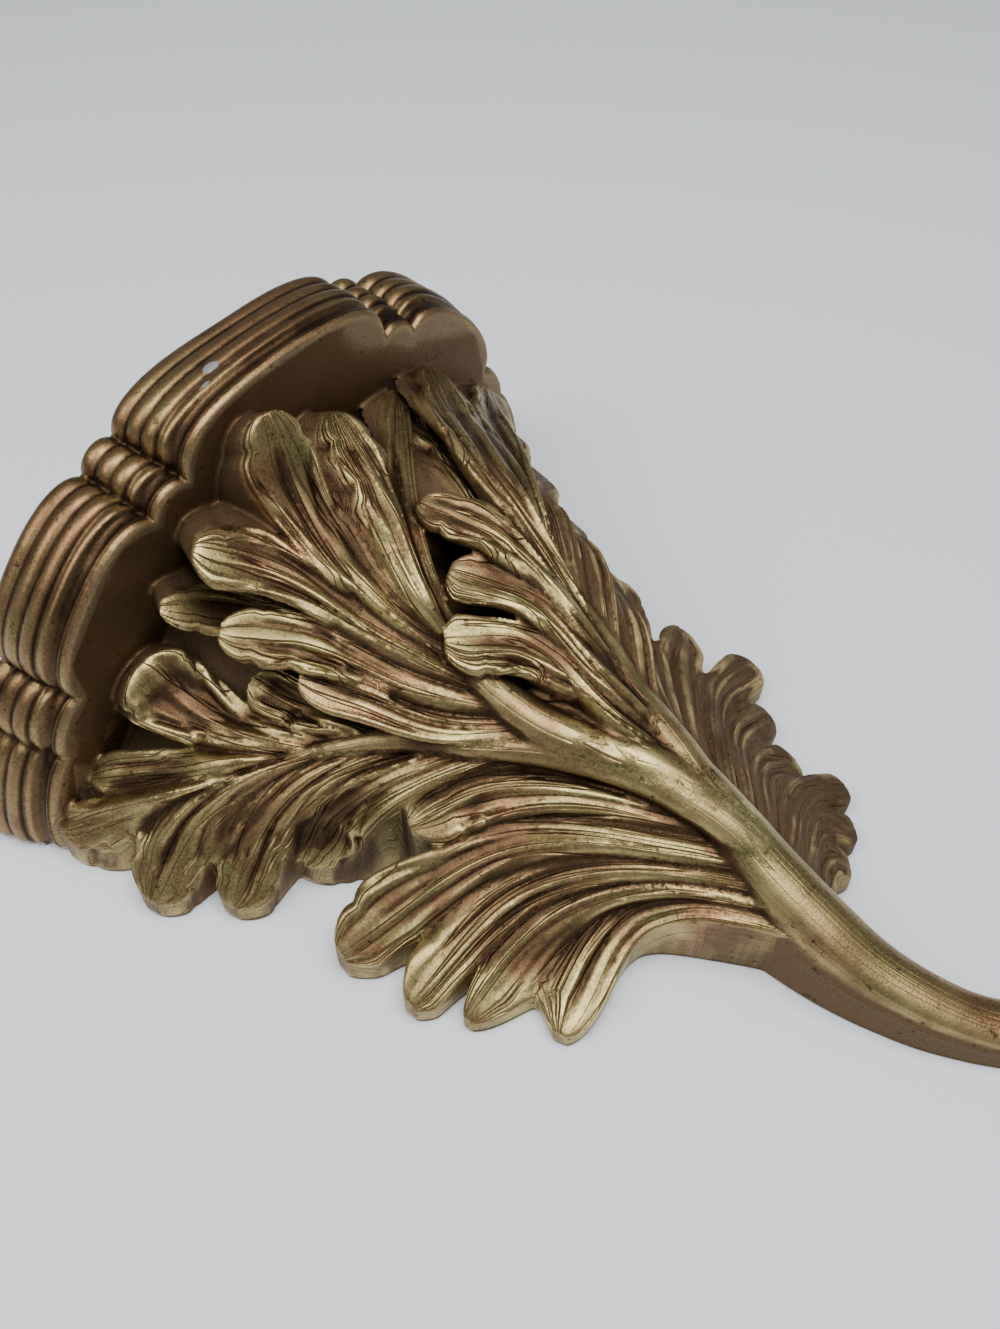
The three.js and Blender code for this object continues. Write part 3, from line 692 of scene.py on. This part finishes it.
gold = bpy.data.materials.new("antique_gold_glazed")
gold.use_nodes = True
nodes = gold.node_tree
nodes.nodes.clear()
place_on = add(nodes, "ShaderNodeTexCoord").outputs["Object"]
closed_in = add(nodes, "ShaderNodeAttribute", {"attribute_name": "closed"}).outputs["Fac"]
grooved = add(nodes, "ShaderNodeAttribute", {"attribute_name": "groove"}).outputs["Fac"]
fluted_here = add(nodes, "ShaderNodeAttribute", {"attribute_name": "fluted"}).outputs["Fac"]
along_leaf = add(nodes, "ShaderNodeAttribute", {"attribute_name": "flow"}).outputs["Vector"]

# Flutes: fine hand-cut lines that run with each lobe, 2 to 4 mm apart where it is widest
stretched = add(nodes, "ShaderNodeVectorMath", {"operation": "MULTIPLY"}, {
    0: along_leaf, 1: (3.0, 1.5, 7.3)}).outputs[0]
flutes = add(nodes, "ShaderNodeTexNoise", inputs={
    "Vector": stretched, "Scale": 1.0, "Detail": 1.2, "Roughness": 0.5})
ridge = add(nodes, "ShaderNodeMath", {"operation": "SUBTRACT"}, {0: flutes.outputs["Fac"], 1: 0.5})
ridge = add(nodes, "ShaderNodeMath", {"operation": "ABSOLUTE"}, {0: ridge.outputs[0]})
flute = add(nodes, "ShaderNodeMapRange", {"interpolation_type": "SMOOTHSTEP"}, {
    "Value": ridge.outputs[0], "From Max": 0.045}).outputs["Result"]
flute = add(nodes, "ShaderNodeMix", inputs={0: fluted_here, 2: 1.0, 3: flute}).outputs[0]

# Colour: green gold and warm gold in patches, coppery where the finish is rubbed thin
patches = add(nodes, "ShaderNodeTexNoise", inputs={
    "Vector": place_on, "Scale": PATCHES, "Detail": 5})
specks = add(nodes, "ShaderNodeTexNoise", inputs={
    "Vector": place_on, "Scale": SPECKS, "Detail": 4})
tone = add(nodes, "ShaderNodeMapRange", inputs={
    "Value": patches.outputs["Fac"], "From Min": 0.38, "From Max": 0.62})
warm = add(nodes, "ShaderNodeMix", {"data_type": "RGBA"}, {
    0: tone.outputs["Result"], 6: linear(GOLD), 7: linear(GREEN_GOLD)})
rubbed = add(nodes, "ShaderNodeTexNoise", inputs={
    "Vector": place_on, "Scale": RUBBED, "Detail": 6})
coppery = add(nodes, "ShaderNodeMapRange", inputs={
    "Value": rubbed.outputs["Fac"], "From Min": 0.5, "From Max": 0.62, "To Max": 0.75})
metal = add(nodes, "ShaderNodeMix", {"data_type": "RGBA"}, {
    0: coppery.outputs["Result"], 6: warm.outputs[2], 7: linear(COPPER)})
grains = add(nodes, "ShaderNodeTexNoise", inputs={
    "Vector": place_on, "Scale": GRAINS, "Detail": 4})
glitter = add(nodes, "ShaderNodeMapRange", inputs={
    "Value": grains.outputs["Fac"], "From Min": 0.45, "From Max": 0.62, "To Max": 0.6})
metal = add(nodes, "ShaderNodeMix", {"data_type": "RGBA"}, {
    0: glitter.outputs["Result"], 6: metal.outputs[2], 7: linear(BROWN_GOLD)})
# Painted shade: the side walls, the stem's sides and the leaves on the right turn dull brown gold
dull_and_shaded_here = add(nodes, "ShaderNodeAttribute", {"attribute_name": "dull_and_shaded"}).outputs["Fac"]
metal = add(nodes, "ShaderNodeMix", {"data_type": "RGBA"}, {
    0: dull_and_shaded_here, 6: metal.outputs[2], 7: linear(BROWN_GOLD)})

# Painted reflection: the shelf's underside turns a greyer gold, the reflection of the pale table
height = add(nodes, "ShaderNodeSeparateXYZ", inputs={0: place_on}).outputs["Z"]
under_shelf = add(nodes, "ShaderNodeMapRange", inputs={
    "Value": height, "From Min": -0.0014, "From Max": -0.0008, "To Max": 0.85})
off_band = add(nodes, "ShaderNodeMapRange", inputs={
    "Value": height, "From Min": 0.0, "From Max": 0.001, "To Min": 1.0, "To Max": 0.0})
under_shelf = add(nodes, "ShaderNodeMath", {"operation": "MULTIPLY"}, {
    0: under_shelf.outputs["Result"], 1: off_band.outputs["Result"]})
metal = add(nodes, "ShaderNodeMix", {"data_type": "RGBA"}, {
    0: under_shelf.outputs[0], 6: metal.outputs[2], 7: linear(SOFT_GREY_GOLD)})
# Painted highlight: where the skin bulges into rims and ridges it turns bright gold, bright copper
# on the shelf's edge, in random patches
edge = add(nodes, "ShaderNodeMapRange", inputs={
    "Value": grooved, "From Min": -0.04, "From Max": -0.3, "To Min": 0.0, "To Max": 0.85})
edge = add(nodes, "ShaderNodeMath", {"operation": "MULTIPLY"}, {
    0: edge.outputs["Result"], 1: tone.outputs["Result"]})
on_band = add(nodes, "ShaderNodeMapRange", inputs={
    "Value": height, "From Min": 0.0, "From Max": 0.001})
edge_gold = add(nodes, "ShaderNodeMix", {"data_type": "RGBA"}, {
    0: on_band.outputs["Result"], 6: linear(BRIGHT_GOLD), 7: linear(BRIGHT_COPPER)})
metal = add(nodes, "ShaderNodeMix", {"data_type": "RGBA"}, {
    0: edge.outputs[0], 6: metal.outputs[2], 7: edge_gold.outputs[2]})

# Glaze and painted shade: dark brown in hollows, grooves, recesses and cut lines and on the side
# walls, thin over the rest, broken up by fine specks. The umber glaze is the finish's own; its
# darkening by how closed in, grooved and hollow a place is, on the side walls and in the moulding's
# grooves is also painted shade.
deep = add(nodes, "ShaderNodeMapRange", inputs={
    "Value": closed_in, "From Min": 0.4, "From Max": 1.0, "To Max": 0.62})
lined = add(nodes, "ShaderNodeMapRange", inputs={
    "Value": grooved, "From Min": 0.0, "From Max": 0.3, "To Max": 0.85})
hollows = add(nodes, "ShaderNodeAttribute", {"attribute_name": "hollow"}).outputs["Fac"]
slopes = add(nodes, "ShaderNodeMapRange", {"interpolation_type": "SMOOTHSTEP"}, {
    "Value": hollows, "From Min": -0.45, "From Max": 0.7, "To Min": 0.05, "To Max": 0.75})
# the fine cut lines are darkened: glaze in them and painted shade
cut = add(nodes, "ShaderNodeMapRange", inputs={
    "Value": flute, "From Min": 0.0, "From Max": 0.8, "To Min": 0.42, "To Max": 0.0})
band = add(nodes, "ShaderNodeMapRange", inputs={
    "Value": height, "From Min": -0.002, "From Max": 0.03})
seams = add(nodes, "ShaderNodeValToRGB", inputs={"Fac": band.outputs["Result"]})
stops = seams.color_ramp.elements
stops[0].position, stops[1].position = 0, 1
stops[0].color = stops[1].color = (0, 0, 0, 1)
for up, strength in SEAM_GLAZE_AND_SHADE:
    stop = stops.new((up + 2) / (SHELF_THICKNESS + 2))
    stop.color = (strength, strength, strength, 1)
grime = add(nodes, "ShaderNodeMapRange", inputs={
    "Value": patches.outputs["Fac"], "From Min": 0.4, "From Max": 0.7, "To Max": 0.42})
grime = add(nodes, "ShaderNodeMath", {"operation": "MULTIPLY"}, {
    0: grime.outputs["Result"], 1: on_band.outputs["Result"]})
# painted shade on the side walls
flanks = add(nodes, "ShaderNodeAttribute", {"attribute_name": "flank"}).outputs["Fac"]
flanks = add(nodes, "ShaderNodeMath", {"operation": "MULTIPLY"}, {0: flanks, 1: 0.8})
glaze_and_shade = deep
for layer in (lined, slopes, flanks, cut, seams):
    glaze_and_shade = add(nodes, "ShaderNodeMath", {"operation": "MAXIMUM"}, {
        0: glaze_and_shade.outputs[0], 1: layer.outputs[0]})
calm = add(nodes, "ShaderNodeMapRange", inputs={
    "Value": dull_and_shaded_here, "To Min": 1.0, "To Max": 0.8})
glaze_and_shade = add(nodes, "ShaderNodeMath", {"operation": "MULTIPLY"}, {
    0: glaze_and_shade.outputs[0], 1: calm.outputs["Result"]})
glaze_and_shade = add(nodes, "ShaderNodeMath", {"operation": "ADD"}, {
    0: glaze_and_shade.outputs[0], 1: grime.outputs[0]})
# less glaze and painted shade on the shelf's underside, so it is painted lighter there
lighter_under_shelf = add(nodes, "ShaderNodeMapRange", inputs={
    "Value": under_shelf.outputs[0], "To Min": 1.0, "To Max": 0.62})
glaze_and_shade = add(nodes, "ShaderNodeMath", {"operation": "MULTIPLY"}, {
    0: glaze_and_shade.outputs[0], 1: lighter_under_shelf.outputs["Result"]})
ragged = add(nodes, "ShaderNodeMath", {"operation": "MULTIPLY_ADD"}, {
    0: specks.outputs["Fac"], 1: 0.5, 2: -0.23})
glaze_and_shade = add(nodes, "ShaderNodeMath", {"operation": "ADD", "use_clamp": True}, {
    0: glaze_and_shade.outputs[0], 1: ragged.outputs[0]})
thin_glaze_and_shade = add(nodes, "ShaderNodeMapRange", inputs={
    "Value": glaze_and_shade.outputs[0], "From Max": 0.5})
thick_glaze_and_shade = add(nodes, "ShaderNodeMapRange", inputs={
    "Value": glaze_and_shade.outputs[0], "From Min": 0.35})
colour = add(nodes, "ShaderNodeMix", {"data_type": "RGBA"}, {
    0: thin_glaze_and_shade.outputs["Result"], 6: metal.outputs[2], 7: linear(BRONZE)})
colour = add(nodes, "ShaderNodeMix", {"data_type": "RGBA"}, {
    0: thick_glaze_and_shade.outputs["Result"], 6: colour.outputs[2], 7: linear(UMBER)})

# Wear: small dark pits all over, and two chips in the moulding where the pale body shows
pitted = add(nodes, "ShaderNodeTexNoise", inputs={
    "Vector": place_on, "Scale": PITS, "Detail": 3})
pits = add(nodes, "ShaderNodeMapRange", inputs={
    "Value": pitted.outputs["Fac"], "From Min": 0.66, "From Max": 0.72, "To Max": 0.75})
colour = add(nodes, "ShaderNodeMix", {"data_type": "RGBA"}, {
    0: pits.outputs["Result"], 6: colour.outputs[2], 7: linear(UMBER)})
scratch = add(nodes, "ShaderNodeTexNoise", inputs={
    "Vector": place_on, "Scale": SCRATCHES, "Detail": 2})
scratch = add(nodes, "ShaderNodeMath", {"operation": "SUBTRACT"}, {
    0: scratch.outputs["Fac"], 1: 0.5})
scratch = add(nodes, "ShaderNodeMath", {"operation": "ABSOLUTE"}, {0: scratch.outputs[0]})
scratch = add(nodes, "ShaderNodeMapRange", inputs={
    "Value": scratch.outputs[0], "From Min": 0.006, "From Max": 0.0})
rare = add(nodes, "ShaderNodeMapRange", inputs={
    "Value": rubbed.outputs["Fac"], "From Min": 0.54, "From Max": 0.6, "To Max": 0.7})
scratch = add(nodes, "ShaderNodeMath", {"operation": "MULTIPLY"}, {
    0: scratch.outputs["Result"], 1: rare.outputs["Result"]})
colour = add(nodes, "ShaderNodeMix", {"data_type": "RGBA"}, {
    0: scratch.outputs[0], 6: colour.outputs[2], 7: linear(UMBER)})

# The flat back never shows on a wall: it is plain, brushed over once with a thin brown wash
depth = add(nodes, "ShaderNodeSeparateXYZ", inputs={0: place_on}).outputs["Y"]
on_back = add(nodes, "ShaderNodeMapRange", inputs={
    "Value": depth, "From Min": -0.0006, "From Max": -0.0002}).outputs["Result"]
brushed = add(nodes, "ShaderNodeVectorMath", {"operation": "MULTIPLY"}, {
    0: place_on, 1: (900, 900, 60)}).outputs[0]
strokes = add(nodes, "ShaderNodeTexNoise", inputs={"Vector": brushed, "Scale": 1.0, "Detail": 3})
wash = add(nodes, "ShaderNodeMix", {"data_type": "RGBA"}, {
    0: strokes.outputs["Fac"], 6: linear(BROWN_GOLD), 7: linear(BRONZE)})
colour = add(nodes, "ShaderNodeMix", {"data_type": "RGBA"}, {
    0: on_back, 6: colour.outputs[2], 7: wash.outputs[2]})
shine = add(nodes, "ShaderNodeMapRange", inputs={
    "Value": dull_and_shaded_here, "To Min": 0.95, "To Max": 0.7})
shine = add(nodes, "ShaderNodeMapRange", inputs={
    "Value": on_back, "To Min": shine.outputs["Result"], "To Max": 0.15}).outputs["Result"]
for spot, size in CHIPS:
    off = add(nodes, "ShaderNodeVectorMath", {"operation": "SUBTRACT"}, {0: place_on, 1: spot})
    off = add(nodes, "ShaderNodeVectorMath", {"operation": "MULTIPLY"}, {
        0: off.outputs[0], 1: (0.5, 0.5, 1.2)})
    off = add(nodes, "ShaderNodeVectorMath", {"operation": "LENGTH"}, {0: off.outputs[0]})
    off = add(nodes, "ShaderNodeMath", {"operation": "MULTIPLY_ADD"}, {
        0: pitted.outputs["Fac"], 1: 0.002, 2: off.outputs["Value"]})
    chip = add(nodes, "ShaderNodeMapRange", inputs={
        "Value": off.outputs[0], "From Min": size + 0.0008, "From Max": size + 0.0003,
        "To Max": 0.8})
    colour = add(nodes, "ShaderNodeMix", {"data_type": "RGBA"}, {
        0: chip.outputs["Result"], 6: colour.outputs[2], 7: linear(PLASTER)})
    shine = add(nodes, "ShaderNodeMix", inputs={
        0: chip.outputs["Result"], 2: shine, 3: 0.0}).outputs[0]
rough = add(nodes, "ShaderNodeMapRange", inputs={
    "Value": glaze_and_shade.outputs[0], "To Min": 0.38, "To Max": 0.5})
rough = add(nodes, "ShaderNodeMapRange", inputs={
    "Value": dull_and_shaded_here, "To Min": rough.outputs["Result"], "To Max": 0.68})
rough = add(nodes, "ShaderNodeMapRange", inputs={
    "Value": under_shelf.outputs[0], "To Min": rough.outputs["Result"], "To Max": 0.62})
rough = add(nodes, "ShaderNodeMapRange", inputs={
    "Value": on_back, "To Min": rough.outputs["Result"], "To Max": 0.62})
relief = add(nodes, "ShaderNodeMath", {"operation": "MULTIPLY_ADD"}, {
    0: specks.outputs["Fac"], 1: 0.12, 2: flute})
grain = add(nodes, "ShaderNodeBump", inputs={
    "Height": relief.outputs[0], "Strength": 1.0, "Distance": 0.0005})
surface = add(nodes, "ShaderNodeBsdfPrincipled", inputs={
    "Base Color": colour.outputs[2], "Metallic": shine, "Roughness": rough.outputs["Result"],
    "Normal": grain.outputs["Normal"]})
add(nodes, "ShaderNodeOutputMaterial", inputs={"Surface": surface.outputs[0]})
corbel.data.materials.clear()
corbel.data.materials.append(gold)
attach(corbel, "root")
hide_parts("corbel")

# The white table that the casting lies on is a plain matt sheet just behind its flat back.
# It shows only from the front, and not to the light that leaves the back of the casting, so that
# the back can be looked at too.
bpy.ops.object.select_all(action="DESELECT")
bpy.ops.mesh.primitive_plane_add(size=6, location=(0, 0.0006, 0), rotation=(math.pi / 2, 0, 0))
table = bpy.context.object
table.name = "table"
bpy.ops.object.transform_apply(location=True, rotation=True, scale=True)
laminate = bpy.data.materials.new("white_laminate")
laminate.use_nodes = True
nodes = laminate.node_tree
nodes.nodes.clear()
matt = add(nodes, "ShaderNodeBsdfPrincipled", inputs={
    "Base Color": linear("#E9EEF2"), "Roughness": 0.6})
clear = add(nodes, "ShaderNodeBsdfTransparent")
side = add(nodes, "ShaderNodeNewGeometry").outputs["Backfacing"]
touching = add(nodes, "ShaderNodeMath", {"operation": "LESS_THAN"}, {
    0: add(nodes, "ShaderNodeLightPath").outputs["Ray Length"], 1: 0.002})
side = add(nodes, "ShaderNodeMath", {"operation": "MAXIMUM"}, {0: side, 1: touching.outputs[0]})
both = add(nodes, "ShaderNodeMixShader", inputs={
    0: side.outputs[0], 1: matt.outputs[0], 2: clear.outputs[0]})
add(nodes, "ShaderNodeOutputMaterial", inputs={"Surface": both.outputs[0]})
table.data.materials.append(laminate)

# Soft daylight in a pale room: most of it comes from above the table, some from a window at the
# shelf's end, and a weak lamp behind the wall plane lights the back when it is looked at.
world = bpy.data.worlds.new("room")
bpy.context.scene.world = world
world.use_nodes = True
world.node_tree.nodes["Background"].inputs["Color"].default_value = linear("#C9CED4")
world.node_tree.nodes["Background"].inputs["Strength"].default_value = 0.3
LAMPS = [("window", (-0.7, -1.0, 0.35), 0.7, 7), ("ceiling", (-0.02, -1.5, -0.36), 1.05, 25),
         ("behind", (-0.5, 1.4, 0.5), 1.0, 10)]  # place and size in metres, watts
LIT_SPOT = Vector((0, 0, -0.1))
for name, where, size, power in LAMPS:
    bpy.ops.object.light_add(type="AREA", location=where)
    lamp = bpy.context.object
    lamp.name = name
    lamp.visible_camera = False
    lamp.data.size = size
    lamp.data.energy = power
    lamp.rotation_euler = (LIT_SPOT - Vector(where)).to_track_quat("-Z", "Y").to_euler()
